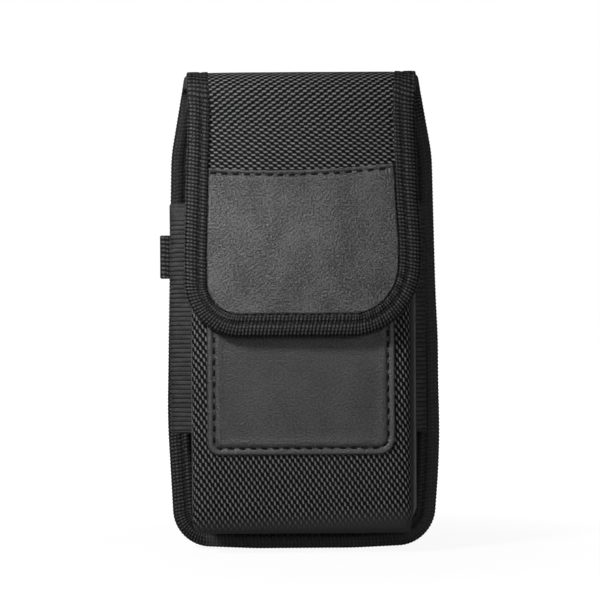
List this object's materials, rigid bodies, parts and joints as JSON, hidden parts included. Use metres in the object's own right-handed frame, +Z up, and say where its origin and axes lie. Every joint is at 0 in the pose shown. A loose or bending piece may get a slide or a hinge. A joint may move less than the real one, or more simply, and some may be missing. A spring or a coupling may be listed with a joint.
{
  "type": "phone belt pouch",
  "caption": "Upright nylon pouch for a phone: fold-over flap, boxed pocket with elastic sides, leather patches, bound edge, belt loop behind.",
  "frame": {"origin": "middle of the belt channel, between the back panel and the belt loop, where a belt holds the pouch", "axes": "+X along the belt, with the side loop towards -X; +Y from the flap towards the wearer; +Z up"},
  "size_m": [0.1022, 0.0395, 0.1735],
  "materials": {
    "nylon_laminate": "matte",
    "binding_tape": "matte",
    "elastic": "matte",
    "leather": "satin",
    "webbing": "matte",
    "closure_loop": "matte",
    "closure_hook": "matte"
  },
  "bodies": {
    "root": {"back_and_flap_panel": "nylon_laminate", "edge_binding": "binding_tape", "pocket": "nylon_laminate", "pocket_mouth_binding": "binding_tape", "side_elastic_left": "elastic", "side_elastic_right": "elastic", "flap_patch": "leather", "pocket_patch": "leather", "closure_loop_pad": "closure_loop", "closure_hook_pad": "closure_hook", "side_loop": "elastic", "belt_loop": "webbing"}
  },
  "joints": []
}
